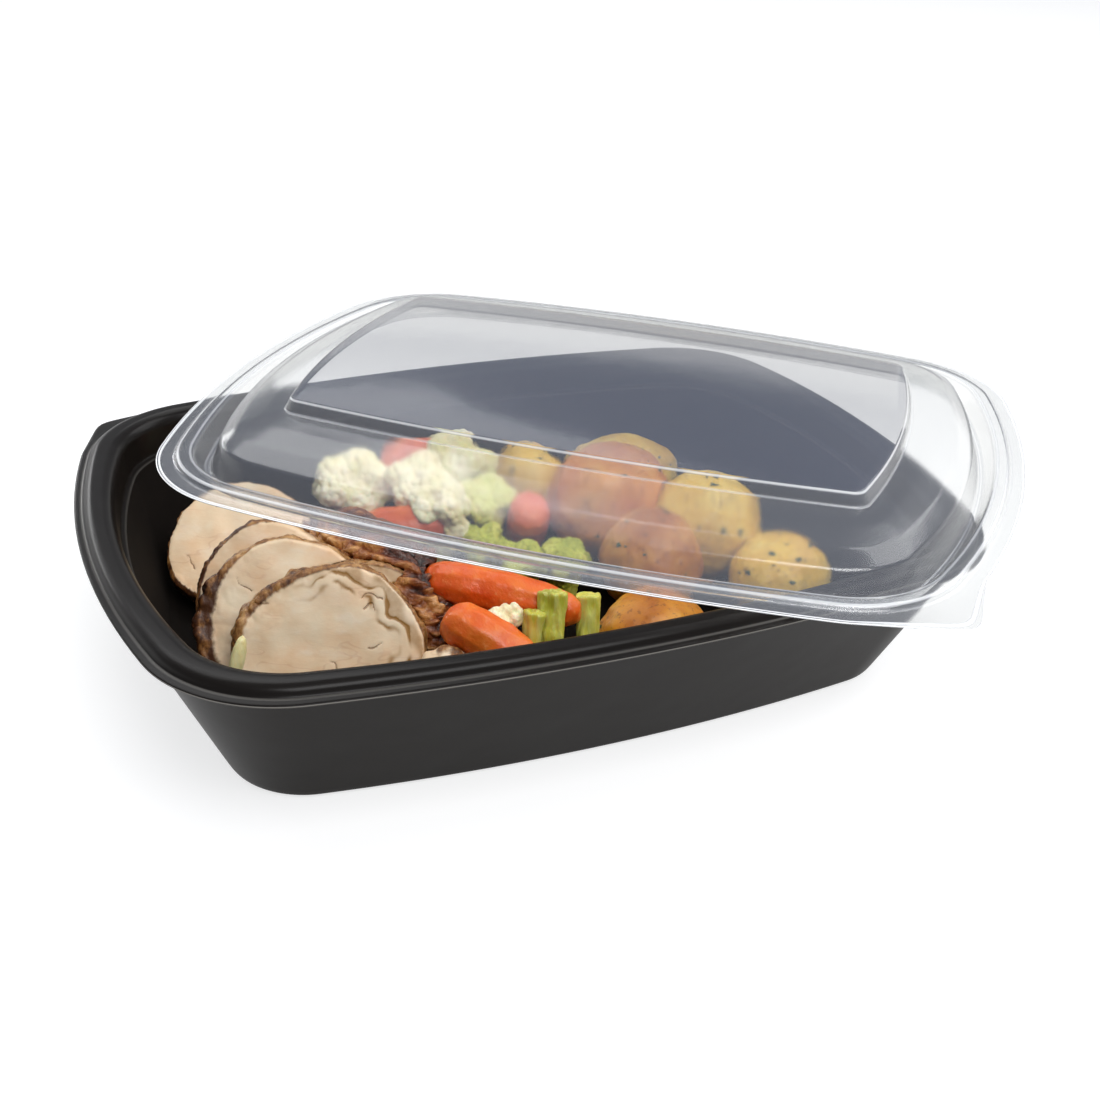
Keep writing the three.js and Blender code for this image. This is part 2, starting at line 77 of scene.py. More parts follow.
for name, place, width, height, power in (
    ("front_softbox", (0.05, -0.75, 1.15), 0.9, 0.7, 13),
    ("back_softbox", (-0.14, 0.76, 1.03), 0.95, 0.74, 6.6),
    ("low_back_softbox", (-0.5, 1.08, 0.34), 0.5, 0.14, 2),
    ("right_softbox", (0.86, 0.12, 0.88), 0.8, 0.8, 6.5),
):
    softbox = bpy.data.lights.new(name, "AREA")
    softbox.shape = "RECTANGLE"
    softbox.size, softbox.size_y = width, height
    softbox.energy = power
    lamp = bpy.data.objects.new(name, softbox)
    lamp.location = place
    lamp.rotation_euler = (Vector((0, 0, 0.02)) - Vector(place)).to_track_quat("-Z", "Y").to_euler()
    bpy.context.collection.objects.link(lamp)


class Field:
    """A value or colour that varies over a surface: one output socket of a finish's nodes."""

    def __init__(self, finish, socket):
        self.finish = finish
        self.socket = socket

    def combined(self, operation, *values):
        return self.finish.node("Math", {"operation": operation}, dict(enumerate(values)))

    def __add__(self, other):
        return self.combined("ADD", self, other)

    def __radd__(self, other):
        return self.combined("ADD", other, self)

    def __sub__(self, other):
        return self.combined("SUBTRACT", self, other)

    def __rsub__(self, other):
        return self.combined("SUBTRACT", other, self)

    def __mul__(self, other):
        return self.combined("MULTIPLY", self, other)

    def __rmul__(self, other):
        return self.combined("MULTIPLY", other, self)

    def __pow__(self, other):
        return self.combined("POWER", self, other)


class Finish:
    """A surface's finish, or the room's glow: its shader, and the nodes that vary it."""

    def __init__(self, name, room=None, **fixed):
        self.material = room or bpy.data.materials.new(name)
        self.material.use_nodes = True
        self.nodes = self.material.node_tree.nodes
        self.links = self.material.node_tree.links
        self.shader = self.nodes["Background" if room else "Principled BSDF"]
        for socket, value in fixed.items():
            self.shader.inputs[socket.replace("_", " ")].default_value = value
        self.place = self.node("TexCoord", output="Object")

    def node(self, kind, settings=None, inputs=None, output=0):
        made = self.nodes.new("ShaderNode" + kind)
        for name, value in (settings or {}).items():
            if name == "stops":
                while len(made.color_ramp.elements) < len(value):
                    made.color_ramp.elements.new(0.5)
                for stop, (position, colour) in zip(made.color_ramp.elements, value):
                    stop.position, stop.color = position, colour
            else:
                setattr(made, name, value)
        for name, value in (inputs or {}).items():
            self.feed(made.inputs[name], value)
        return Field(self, made.outputs[output])

    def feed(self, socket, value):
        if isinstance(value, Field):
            self.links.new(value.socket, socket)
        else:
            socket.default_value = value

    def vary(self, **sockets):
        for socket, value in sockets.items():
            self.feed(self.shader.inputs[socket.replace("_", " ")], value)

    def mixed(self, share, first, second, how="MIX"):
        settings = {"data_type": "RGBA", "blend_type": how}
        return self.node("Mix", settings, {0: share, 6: first, 7: second}, 2)

    def noise(self, size, detail=3, stretch=(1, 1, 1), roughness=0.55, turn=0):
        placing = {"Vector": self.place, "Rotation": (0, 0, turn), "Scale": stretch}
        where = self.node("Mapping", None, placing)
        inputs = {"Vector": where, "Scale": 1 / size, "Detail": detail, "Roughness": roughness}
        return self.node("TexNoise", None, inputs)

    def ramp(self, value, *stops):
        return self.node("ValToRGB", {"stops": stops}, {0: value})

    def step(self, value, low, high):
        inputs = {"Value": value, "From Min": low, "From Max": high}
        return self.node("MapRange", {"interpolation_type": "SMOOTHSTEP"}, inputs)

    def painted(self, name):
        return self.node("Attribute", {"attribute_name": name}, output="Fac")

    def bump(self, height, depth):
        self.vary(Normal=self.node("Bump", None, {"Distance": depth, "Height": height}))


def colour(code):
    """A colour as it looks on a screen, six hexadecimal digits, as the light it gives off."""
    parts = [int(code[k:k + 2], 16) / 255 for k in (0, 2, 4)]
    return (*(p / 12.92 if p <= 0.04045 else ((p + 0.055) / 1.055) ** 2.4 for p in parts), 1)


# The white backdrop glows all round up to a fifth of the way overhead, and the ceiling is dim.
bpy.context.scene.world = bpy.data.worlds.new("room")
glow = Finish("room_glow", bpy.context.scene.world)
way = glow.node("TexCoord", output="Generated")
height = glow.node("SeparateXYZ", None, {0: way}, "Z")
glow.vary(Color=glow.mixed(glow.step(height, 0.14, 0.3), (1, 1, 1, 1), (0.2, 0.225, 0.27, 1)))

white = Finish("white_floor", Roughness=0.8, Emission_Color=(1, 1, 1, 1), Emission_Strength=0.72)
white.vary(Base_Color=white.mixed(white.noise(0.4), colour("A2A2A2"), colour("A8A8A8")))
bpy.ops.mesh.primitive_plane_add(size=8, location=(0, 0, -0.0002))
floor = bpy.context.object
floor.name = "floor"
floor.data.materials.append(white.material)
floor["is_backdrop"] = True

# --- The tray ---
# A formed sheet of matte black-brown plastic with bowed sides and round corners. Its wall rises
# to a ledge, then to a rolled rim with a flat lip round it; one corner of the lip is a pull tab.
TRAY_LIP = {"length": 115, "width": 87.5, "bow_long": 11.5, "bow_short": 16.7, "corner": 36}
TRAY_FOOT = {"length": 94.5, "width": 65.5, "bow_long": 8.1, "bow_short": 10, "corner": 21}
BASE_THICKNESS, FOOT_ROUND = 1.2, 2.6
LIP_HEIGHT, LIP_THICKNESS = 42, 0.9
RIM_TOP, RIM_WIDTH = 45, 9.7
LEDGE_HEIGHT = 34.5
TRAY_TAB = {"signs": (-1, 1), "reach": 5, "share": 1 / 2}
STEPS = {"short": 10, "corner": 24, "long": 14}
EDGE_ROUND = 0.7


def shrunk(shape, inset):
    return {
        **shape,
        "length": shape["length"] - inset,
        "width": shape["width"] - inset,
        "corner": max(shape["corner"] - inset, 2),
    }


def between(first, second, share):
    return {key: first[key] + (second[key] - first[key]) * share for key in first}


def arc(middle, radius, start, end, steps):
    turns = np.linspace(start, end, steps, endpoint=False)
    return middle + radius * np.stack([np.cos(turns), np.sin(turns)], 1)


def quarter(shape, tab):
    """A quarter of a bowed oblong with round corners, from the +X side round to the +Y side."""
    length, width, corner = shape["length"], shape["width"], shape["corner"]
    long_radius = (length ** 2 + shape["bow_long"] ** 2) / (2 * shape["bow_long"])
    short_radius = (width ** 2 + shape["bow_short"] ** 2) / (2 * shape["bow_short"])
    long_middle = np.array([0, width - long_radius])
    short_middle = np.array([length - short_radius, 0])
    across = short_middle - long_middle
    distance = np.linalg.norm(across)
    unit = across / distance
    long_reach, short_reach = long_radius - corner, short_radius - corner
    along = (distance ** 2 + long_reach ** 2 - short_reach ** 2) / (2 * distance)
    aside = math.sqrt(long_reach ** 2 - along ** 2)
    middle = long_middle + unit * along + np.array([unit[1], -unit[0]]) * aside
    short_end = math.atan2(*(middle - short_middle)[::-1])
    long_start = math.atan2(*(middle - long_middle)[::-1])
    turn = arc(middle, corner, short_end, long_start, STEPS["corner"])
    if tab and tab["reach"] > 0:
        half = math.acos(corner / (corner + tab["reach"]))
        shares = np.arange(STEPS["corner"]) / STEPS["corner"]
        from_tip = np.abs(shares - tab["share"]) * (long_start - short_end)
        reach = np.minimum(corner / np.cos(np.maximum(0, half - from_tip)), corner + tab["reach"] - 0.5)
        turn = middle + (turn - middle) / corner * reach[:, None]
        for _ in range(2):
            eased = (turn[:-2] + turn[1:-1] * 2 + turn[2:]) / 4
            turn[1:-1] = np.where((from_tip[1:-1] < half * 0.45)[:, None], eased, turn[1:-1])
    return np.concatenate([
        arc(short_middle, short_radius, 0, short_end, STEPS["short"]),
        turn,
        arc(long_middle, long_radius, long_start, math.pi / 2, STEPS["long"]),
        [[0, width]],
    ])


def ring(shape, height, tab=None, fold=0, sheen=0):
    """A closed outline at one height, anticlockwise: x, y, z, painted fold highlight and sheen of each
    point.
    """
    sides = []
    for signs in ((1, 1), (-1, 1), (-1, -1), (1, -1)):
        points = quarter(shape, tab if tab and tab["signs"] == signs else None) * signs
        sides.append((points if signs[0] == signs[1] else points[::-1])[:-1])
    outline = np.concatenate(sides)
    rest = np.broadcast_to([height, fold, sheen], (len(outline), 3))
    return np.concatenate([outline, rest], 1)


def softened(rings, reach, steps=4):
    """Rounds the folds: each ring between two others becomes a short arc within reach of it."""
    result = [rings[0]]
    for before, here, after in zip(rings, rings[1:], rings[2:]):
        ends = []
        for other in (before, after):
            way = other - here
            distance = np.linalg.norm(way[:, :3], axis=1, keepdims=True)
            ends.append(here + way * np.minimum(reach / np.maximum(distance, 1e-6), 0.45))
        for share in np.linspace(0, 1, steps):
            start_part, fold_part, end_part = (1 - share) ** 2, 2 * share * (1 - share), share ** 2
            bent = start_part * ends[0] + fold_part * here + end_part * ends[1]
            # A fold's painted highlight peaks at the middle of its arc and fades to nothing at the
            # arc's ends.
            bent[:, 3] = here[:, 3] * 2 * fold_part
            result.append(bent)
    return [*result, rings[-1]]


def skin(name, rings, finish, crease=60):
    """One closed skin through rings of points in mm, with the painted highlights of its fold lines and
    its sheen painted on.
    """
    count = len(rings[0])
    points = np.concatenate(rings)
    starts = np.arange(0, count * (len(rings) - 1), count)[:, None]
    here = np.arange(count)
    after = (here + 1) % count
    walls = np.stack([starts + here, starts + after, starts + count + after, starts + count + here], -1)
    ends = [list(here[::-1]), list(here + count * (len(rings) - 1))]
    mesh = bpy.data.meshes.new(name)
    mesh.from_pydata(points[:, :3] / 1000, [], walls.reshape(-1, 4).tolist() + ends)
    tidy = bmesh.new()
    tidy.from_mesh(mesh)
    bmesh.ops.recalc_face_normals(tidy, faces=tidy.faces)
    tidy.to_mesh(mesh)
    tidy.free()
    for column, quality in ((3, "fold"), (4, "sheen")):
        values = points[:, column].astype(np.float32)
        mesh.attributes.new(quality, "FLOAT", "POINT").data.foreach_set("value", values)
    mesh.shade_smooth()
    mesh.set_sharp_from_angle(angle=math.radians(crease))
    mesh.materials.append(finish.material)
    piece = bpy.data.objects.new(name, mesh)
    bpy.context.collection.objects.link(piece)
    return piece


def wall_outside(height):
    share = (height - FOOT_ROUND) / (LIP_HEIGHT - FOOT_ROUND)
    return between(TRAY_FOOT, shrunk(TRAY_LIP, 2.8), share)


def wall_inside(height):
    share = (height - FOOT_ROUND) / (LEDGE_HEIGHT - FOOT_ROUND)
    return between(shrunk(TRAY_FOOT, 1.2), shrunk(TRAY_LIP, RIM_WIDTH + 2.4), share)


def lip(inset, height, fold=0):
    tab = {**TRAY_TAB, "reach": TRAY_TAB["reach"] * max(0, 1 - inset / 2)}
    return ring(shrunk(TRAY_LIP, inset), height, tab, fold, 0.2 if height > LIP_HEIGHT else 0.06)


plastic = Finish("tray_plastic", Specular_IOR_Level=0.06, Coat_Roughness=0.22)
grain = plastic.noise(0.0009, 2)
cloud = plastic.noise(0.03, 2)
polish = plastic.painted("sheen")
plain = plastic.mixed(cloud, colour("110E0C"), colour("16120F"))
# Each ring's fold value mixes in a pale grey: painted highlight lines along the lip's edges and the
# ledge.
plastic.vary(
    Base_Color=plastic.mixed(plastic.painted("fold"), plain, colour("9A968F")),
    Roughness=0.8 - 0.44 * plastic.step(polish, 0, 0.03) + 0.08 * cloud + 0.03 * grain,
    Coat_Weight=polish,
)
plastic.bump(cloud, 0.0003)

# The fold values on these rings are painted highlight lines along the ledge and round the lip's outer
# edge.
tray = skin("tray_shell", softened([
    ring(shrunk(wall_inside(BASE_THICKNESS), 5), BASE_THICKNESS),
    ring(shrunk(wall_inside(2.4), 2), 2.4),
    ring(wall_inside(5), 5),
    ring(wall_inside(LEDGE_HEIGHT - 0.6), LEDGE_HEIGHT - 0.6),
    ring(wall_inside(LEDGE_HEIGHT), LEDGE_HEIGHT, fold=0.1),
    lip(RIM_WIDTH + 0.9, LEDGE_HEIGHT + 0.5),
    lip(RIM_WIDTH + 0.3, RIM_TOP - 2.6),
    lip(RIM_WIDTH - 0.8, RIM_TOP - 0.8),
    lip(RIM_WIDTH - 2.6, RIM_TOP),
    lip(4.4, RIM_TOP),
    lip(3, RIM_TOP - 0.8),
    lip(2.4, LIP_HEIGHT + 1),
    lip(2, LIP_HEIGHT + 0.6, 0.2),
    lip(0.25, LIP_HEIGHT + 0.35),
    lip(0, LIP_HEIGHT, 0.6),
    lip(0.25, LIP_HEIGHT + 0.35 - LIP_THICKNESS, 0.3),
    ring(wall_outside(LIP_HEIGHT - LIP_THICKNESS), LIP_HEIGHT - LIP_THICKNESS, sheen=0.04),
    ring(wall_outside(FOOT_ROUND), FOOT_ROUND, sheen=0.04),
    ring(shrunk(TRAY_FOOT, 0.9), 0.7, sheen=0.04),
    ring(shrunk(TRAY_FOOT, FOOT_ROUND), 0, sheen=0.04),
], EDGE_ROUND), plastic)
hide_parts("tray")
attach(tray, "root")

# --- The roast ---
# Slices of a rolled roast: pale meat with fine cracks and a browned, ragged rim, leaning back in a
# row against the dark crusty end that they were cut from.
def fine_copy(node, cell, rounds=3):
    """The frame's node as an even fine mesh with softened edges. cell is in mm."""
    piece = bpy.data.objects.new(node + "_food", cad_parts[node].data.copy())
    bpy.context.collection.objects.link(piece)
    even = piece.modifiers.new("even", "REMESH")
    even.mode = "VOXEL"
    even.voxel_size = cell / 1000
    soft = piece.modifiers.new("soft", "SMOOTH")
    soft.factor = 0.5
    soft.iterations = rounds
    fine = bpy.data.meshes.new_from_object(piece.evaluated_get(bpy.context.evaluated_depsgraph_get()))
    piece.modifiers.clear()
    piece.data = fine
    fine.materials.clear()
    fine.shade_smooth()
    return piece


def points_of(piece):
    """The points of a piece in mm, and its normals."""
    both = []
    for name, scale in (("co", 1000), ("normal", 1)):
        values = np.empty(3 * len(piece.data.vertices), np.float32)
        piece.data.vertices.foreach_get(name, values)
        both.append(values.reshape(-1, 3).astype(float) * scale)
    return both


def raised(piece, lift):
    """Moves each point of a piece along its normal by its lift in mm, but not into the tray."""
    points, normals = points_of(piece)
    moved = (points + normals * lift[:, None]) / 1000
    moved[:, 2] = np.maximum(moved[:, 2], (BASE_THICKNESS + 0.1) / 1000)
    piece.data.vertices.foreach_set("co", moved.astype(np.float32).ravel())
    piece.data.update()


def paint(piece, name, values):
    painted = piece.data.attributes.new(name, "FLOAT", "POINT")
    painted.data.foreach_set("value", values.astype(np.float32))


def ripples(points, length, seed, waves=14):
    """Smooth random ups and downs over points in mm, mostly between -1 and 1."""
    draw = np.random.default_rng(seed)
    ways = draw.normal(size=(waves, 3))
    lengths = length * draw.uniform(0.7, 1.4, waves)
    ways *= (2 * math.pi / lengths / np.linalg.norm(ways, axis=1))[:, None]
    return np.sin(points @ ways.T + draw.uniform(0, 6.28, waves)).sum(1) / math.sqrt(waves)


def settled(piece, finish, node):
    piece.data.materials.append(finish.material)
    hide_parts(node)
    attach(piece, "root")


meat = Finish("pork_meat", Subsurface_Weight=0.12, Subsurface_Scale=0.003)
meat.shader.inputs["Subsurface Radius"].default_value = (1, 0.55, 0.35)
side = meat.painted("side")
streaks = meat.noise(0.0025, 4, (1, 1, 0.5), 0.65)
patch = meat.noise(0.0075, 4, roughness=0.6) - 0.5
depth = meat.painted("rim") + 0.9 * patch + 0.25 * (streaks - 0.5)
dark = meat.painted("dark")
fibres = meat.noise(0.003, 5, (0.4, 0.4, 1), 0.6)
face = meat.ramp(
    meat.noise(0.012, 4),
    (0.32, colour("EAD7B8")), (0.5, colour("E5CAA6")), (0.68, colour("E0BB92")),
)
face = meat.mixed(meat.step(fibres, 0.5, 0.75) * 0.35, face, colour("EBDCC8"))
lines = meat.noise(0.0055, 2, (0.3, 0.3, 1))
seam = (1 - meat.step((lines - 0.5) ** 2, 0.0, 0.0002)) * meat.step(meat.noise(0.012, 2), 0.48, 0.6)
face = meat.mixed(seam * 0.22, face, colour("B98468"))
tear = meat.step(meat.painted("tear"), 0.72, 0.92)
face = meat.mixed(tear * 0.55, face, colour("93603F"))
fold = meat.painted("fold")
face = meat.mixed(fold * (1 + 1.4 * streaks), face, colour("966A2C"))
browned = meat.ramp(
    streaks * 0.9 - depth * 0.12 - dark * 0.2,
    (0.2, colour("4A280F")), (0.32, colour("85572A")),
    (0.44, colour("AC7F48")), (0.6, colour("D0AA78")),
)
crusted = meat.ramp(
    streaks - dark * 0.3,
    (0.1, colour("1E0D05")), (0.28, colour("4C2810")),
    (0.46, colour("8C6032")), (0.66, colour("BC9460")),
)
cut = meat.mixed(meat.step(depth, 0.0, 0.4), crusted, browned)
cut = meat.mixed(meat.step(depth, 0.75, 1.05), cut, face)
meat.vary(
    Base_Color=meat.mixed(side, cut, crusted),
    Roughness=0.44 + 0.12 * fibres - 0.14 * side,
)
meat.bump(fibres * 0.35 + streaks * (side + 1 - meat.step(depth, 0.7, 1.1)) - tear * 0.6, 0.0004)


def tears(across, up, reach, count, seed):
    """How torn the cut face is, 0 to 1, along short lines that wander over it in mm."""
    draw = np.random.default_rng(seed)
    torn = np.zeros(len(across))
    for _ in range(count):
        place = draw.uniform(-0.75, 0.75, 2) * reach
        heading = draw.uniform(0, math.pi)
        length = draw.integers(10, 26)
        for step in range(length):
            heading += draw.normal(0, 0.25)
            place = place + 0.25 * np.array([math.cos(heading), math.sin(heading)])
            near = (across - place[0]) ** 2 + (up - place[1]) ** 2
            torn = np.maximum(torn, np.exp(-near / 0.3) - 0.15 * step / length)
    return torn


# Each slice: its middle, lean and turn as cut, the width of its browned rim in mm, how much wider
# and darker the rim gets towards one side, and the bearing of that side on the cut face. The two
# front slices also have browned folds inside the rim, up and to the right.
FACE_TURN = -17
FACE_SECTORS = 72
FRONT_SLICES = ("pork_slice_4", "pork_slice_5")
FOLD_BEARING = math.radians(35)
SLICES = {
    "pork_slice_1": ((-68.5, 37, 15.5), 50, -4, 0.6, 1.2, 0.7, 235),
    "pork_slice_2": ((-69, -3, 19.5), 30, -3, 0.6, 1.4, 0.8, 150),
    "pork_slice_3": ((-67.5, -14, 20), 30, -2, 0.7, 4.6, 1.5, 190),
    "pork_slice_4": ((-61, -31, 20), 30, 0, 0.8, 2.3, 0.15, 145),
    "pork_slice_5": ((-51.5, -24, 19), 30, 4, 1.2, 1.4, 0.3, 140),
}
for order, (node, (middle, lean, turn, rim, wider, darker, way)) in enumerate(SLICES.items()):
    piece = fine_copy(node, 0.34 if node == "pork_slice_4" else 0.42, 2)
    points, normals = points_of(piece)
    swing = Matrix.Rotation(math.radians(FACE_TURN + turn), 3, "Z")
    stand = np.array(swing @ Matrix.Rotation(math.radians(-lean), 3, "X"))
    local = (points - middle) @ stand
    radius = np.hypot(local[:, 0], local[:, 2])
    bearing = np.arctan2(local[:, 2], local[:, 0])
    sector = np.floor((bearing / (2 * math.pi) + 0.5) * FACE_SECTORS).astype(int) % FACE_SECTORS
    edge = np.zeros(FACE_SECTORS)
    np.maximum.at(edge, sector, radius)
    edge = np.convolve(np.concatenate([edge[-2:], edge, edge[:2]]), np.ones(5) / 5, "valid")
    depth = np.maximum(edge[sector] - radius, 0)
    facing = np.abs(normals @ stand[:, 1])
    lean_in = np.maximum(np.cos(bearing - math.radians(way)), 0) ** 2
    thick = rim * (1 + 0.3 * ripples(points, 15, order)) + wider * lean_in
    paint(piece, "rim", depth / np.maximum(thick, 0.35))
    paint(piece, "side", np.clip((0.75 - facing) / 0.35, 0, 1))
    paint(piece, "dark", np.clip(darker * lean_in + 0.25 * ripples(points, 9, order + 80), 0, 1))
    torn = tears(local[:, 0], local[:, 2], edge.mean(), 6, order + 3) * (facing > 0.8)
    paint(piece, "tear", torn)
    wavy = depth + 1.5 * ripples(points, 12, order + 60) + 0.5 * ripples(points, 4, order + 70)
    folded = np.exp(-((wavy - 3.5) / 0.5) ** 2) + 0.6 * np.exp(-((wavy - 7) / 0.7) ** 2)
    folded = np.maximum(folded, 0.35 * (wavy < 3.5)) * (facing > 0.8)
    folded *= np.clip(0.75 + 0.7 * ripples(points, 5, order + 90), 0, 1)
    folded *= (node in FRONT_SLICES) * np.clip(1.3 * np.cos(bearing - FOLD_BEARING), 0, 1)
    paint(piece, "fold", folded)
    near_rim = np.exp(-depth / np.maximum(thick, 0.8))
    ragged = ripples(points, 6, order + 20) + 0.8 * np.abs(ripples(points, 2.6, order + 30)) - 0.4
    pleats = np.clip(thick / 4, 0, 1) ** 2 * (np.abs(ripples(points, 7, order + 50)) - 0.4)
    swell = 0.14 * ripples(points, 9, order + 40)
    raised(piece, near_rim * (0.3 * ragged + 0.6 * pleats) + swell - 0.2 * torn ** 4 - 0.25 * folded)
    settled(piece, meat, node)

scrap = fine_copy("pork_scrap", 0.5)
points = points_of(scrap)[0]
paint(scrap, "rim", 0.9 + 0.6 * ripples(points, 6, 3))
paint(scrap, "side", np.zeros(len(points)))
for quality in ("dark", "tear", "fold"):
    paint(scrap, quality, np.zeros(len(points)))
raised(scrap, 0.3 * ripples(points, 4, 81))
settled(scrap, meat, "pork_scrap")

# The roast's own surface, cooked dark and wet, with its grain running along the roast.
GRAIN_TURN = math.radians(42)
crust = Finish("roast_crust", Coat_Roughness=0.12)
strands = crust.noise(0.003, 5, (0.13, 1, 1), 0.6, GRAIN_TURN)
patches = crust.noise(0.012, 4, (0.4, 1, 1), 0.6, GRAIN_TURN)
flecks = crust.noise(0.0014, 3)
# The relief term in the ramp is painted light and shade: lighter on the crust's ridges, darker in its
# grooves.
crust.vary(
    Base_Color=crust.ramp(
        strands * 0.55 + patches * 0.15 + crust.painted("pale") * 0.3 + crust.painted("ridge") * 0.14,
        (0.32, colour("1C0A04")), (0.45, colour("55240C")), (0.57, colour("884A1C")),
        (0.69, colour("B87E42")), (0.8, colour("D4A46C")),
    ),
    Roughness=0.28 + 0.25 * flecks,
    Coat_Weight=0.35 * crust.step(patches, 0.35, 0.6),
)
crust.bump(strands + flecks * 0.3, 0.0016)
end = fine_copy("pork_end", 0.5, 2)
points = points_of(end)[0]
outward = points @ (0.94, 0.34, 0)
paler = 0.5 - (outward - outward.mean() + 2) / 12
paint(end, "pale", np.clip(paler + 0.3 * ripples(points, 12, 8), 0, 1))
spin = np.array(Matrix.Rotation(GRAIN_TURN, 3, "Z"))
along = points @ spin.T * (0.16, 1, 1)
folds = np.abs(ripples(along, 6, 91)) - 0.5
crags = np.abs(ripples(along, 2.3, 92, 24)) - 0.5
# Painted light and shade that follow the relief: high on its ridges, low in its grooves.
paint(end, "ridge", np.clip(0.8 * folds + crags, -1, 1))
raised(end, 1.2 * folds + 0.9 * crags + 0.12 * ripples(points, 1.6, 93, 20))
settled(end, crust, "pork_end")

onion_skin = Finish("onion", Roughness=0.3, Subsurface_Weight=0.1, Subsurface_Scale=0.002)
veins = onion_skin.noise(0.001, 2, (1, 1, 0.15))
onion_skin.vary(Base_Color=onion_skin.mixed(veins, colour("F0E8B8"), colour("D9C77E")))
onion_skin.bump(veins, 0.0003)
settled(fine_copy("onion_strip", 0.3, 1), onion_skin, "onion_strip")

# --- The vegetables ---
# Small peeled carrots, cut stems, and florets of cauliflower and broccoli, all boiled soft and
# moist, lying as they fell in the tray.
orange = Finish("carrot_flesh", Roughness=0.3, Subsurface_Weight=0.15, Subsurface_Scale=0.004)
tone = orange.noise(0.012, 3)
scrapes = orange.noise(0.0016, 4, (1, 0.5, 1), 0.65)
orange.vary(
    Base_Color=orange.mixed(
        orange.step(scrapes, 0.55, 0.8) * 0.45,
        orange.ramp(tone, (0.3, colour("C8460E")), (0.5, colour("D85C16")), (0.7, colour("E47C2C"))),
        colour("F0A868"),
    ),
    Roughness=0.26 + 0.16 * scrapes,
)
orange.bump(scrapes * 0.6 + tone, 0.0005)
for order in range(1, 6):
    node = f"carrot_{order}"
    piece = fine_copy(node, 0.5, 6)
    points = points_of(piece)[0]
    raised(piece, 0.12 * ripples(points, 5, order) + 0.2 * ripples(points, 14, order + 9))
    settled(piece, orange, node)

stalk = Finish("stem_flesh", Roughness=0.3, Subsurface_Weight=0.15, Subsurface_Scale=0.003)
strings = stalk.noise(0.0011, 3, (1, 1, 0.12))
shade = stalk.noise(0.008, 3)
stalk.vary(Base_Color=stalk.mixed(
    stalk.step(strings, 0.4, 0.7) * 0.5,
    stalk.ramp(shade, (0.3, colour("9C9A2C")), (0.5, colour("C0BC42")), (0.7, colour("D8D468"))),
    colour("D2D683"),
))
stalk.bump(strings, 0.0006)
for order in range(1, 4):
    node = f"stem_{order}"
    piece = fine_copy(node, 0.35, 2)
    points = points_of(piece)[0]
    raised(piece, 0.2 * ripples(points * (1, 1, 0.1), 2, order) + 0.15 * ripples(points, 5, order + 5))
    settled(piece, stalk, node)


def budded(piece, size, height, seed):
    """Covers a piece with small round buds, each about size across, standing out by height."""
    draw = np.random.default_rng(seed)
    points = points_of(piece)[0]
    chosen = points[draw.permutation(len(points))]
    buds = []
    for point in chosen[:6000]:
        if not buds or np.min(np.sum((np.array(buds) - point) ** 2, 1)) > (0.7 * size) ** 2:
            buds.append(point)
    tree = kdtree.KDTree(len(buds))
    for index, bud in enumerate(buds):
        tree.insert(bud, index)
    tree.balance()
    distance = np.array([tree.find(point)[2] for point in points])
    dome = np.sqrt(np.maximum(0, 1 - (distance / (0.62 * size)) ** 2))
    paint(piece, "bud", dome)
    raised(piece, height * (dome - 0.5))


curd = Finish("cauliflower_curd", Roughness=0.6, Subsurface_Weight=0.2, Subsurface_Scale=0.003)
crumb = curd.noise(0.0011, 3)
curd_tone = curd.noise(0.011, 3)
# The gaps between the buds get painted shade: a darker yellow where the bud attribute is low.
curd.vary(Base_Color=curd.mixed(
    (1 - curd.painted("bud")) * 0.35,
    curd.mixed(
        curd.painted("green"),
        curd.ramp(curd_tone, (0.3, colour("E4D8A0")), (0.5, colour("EEE5BE")), (0.7, colour("F8F2DC"))),
        colour("C6C85E"),
    ),
    colour("CDB968"),
))
curd.bump(crumb, 0.0005)
sprout = Finish("broccoli_head", Roughness=0.6, Subsurface_Weight=0.1, Subsurface_Scale=0.002)
sprout_tone = sprout.noise(0.008, 3)
# The gaps between the buds get painted shade: a dark green where the bud attribute is low.
sprout.vary(Base_Color=sprout.mixed(
    (1 - sprout.painted("bud")) * 0.5,
    sprout.ramp(sprout_tone, (0.3, colour("97A02A")), (0.5, colour("BCC040")), (0.7, colour("D6D266"))),
    colour("616C1C"),
))
sprout.bump(sprout.noise(0.0009, 3), 0.0005)
GREENISH = {"cauliflower_3": 0.25, "cauliflower_4": 0.75, "cauliflower_6": 0.1}
for kind, count, finish, size, height in (
    ("cauliflower", 6, curd, 2.6, 0.9),
    ("broccoli", 3, sprout, 1.7, 0.7),
):
    for order in range(1, count + 1):
        node = f"{kind}_{order}"
        piece = fine_copy(node, 0.45, 2)
        budded(piece, size, height, order)
        points = points_of(piece)[0]
        green = GREENISH.get(node, 0.05) + 0.15 * ripples(points, 7, order)
        paint(piece, "green", np.clip(green, 0, 1))
        settled(piece, finish, node)

